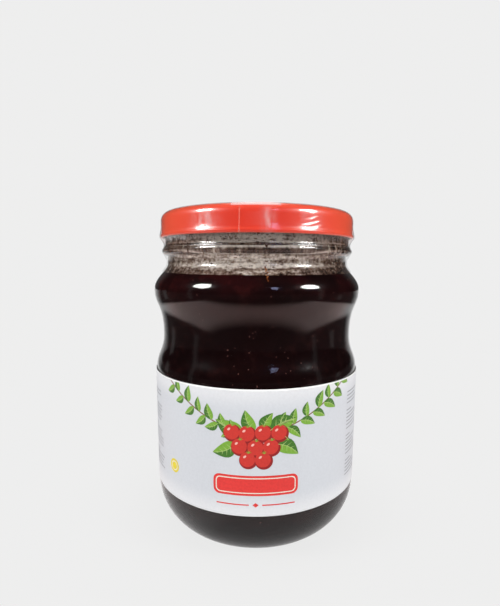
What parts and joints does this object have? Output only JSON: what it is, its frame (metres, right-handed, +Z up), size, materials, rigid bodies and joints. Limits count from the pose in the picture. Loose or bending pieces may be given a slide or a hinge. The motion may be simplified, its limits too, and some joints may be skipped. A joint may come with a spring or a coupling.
{
  "type": "jam jar",
  "caption": "Large round waisted glass jar of strawberry jam with a red twist-off lid, a wrap-round paper label and a clear shrink band over lid and neck.",
  "frame": {"origin": "middle of the base, on the plane that the jar stands on", "axes": "+Z up along the jar's axis, -Y towards the viewer and the middle of the label's front"},
  "size_m": [0.1132, 0.1132, 0.1741],
  "materials": {
    "clear_glass": "clear, polished",
    "strawberry_jam": "dark, wet and glossy",
    "red_enamel": "glossy enamel on tinplate",
    "label_paper": "coated paper, satin",
    "clear_film": "clear shrunk film"
  },
  "bodies": {
    "root": {"jar": "clear_glass", "jam": "strawberry_jam", "lid": "red_enamel", "label": "label_paper", "shrink_band": "clear_film"}
  },
  "joints": []
}
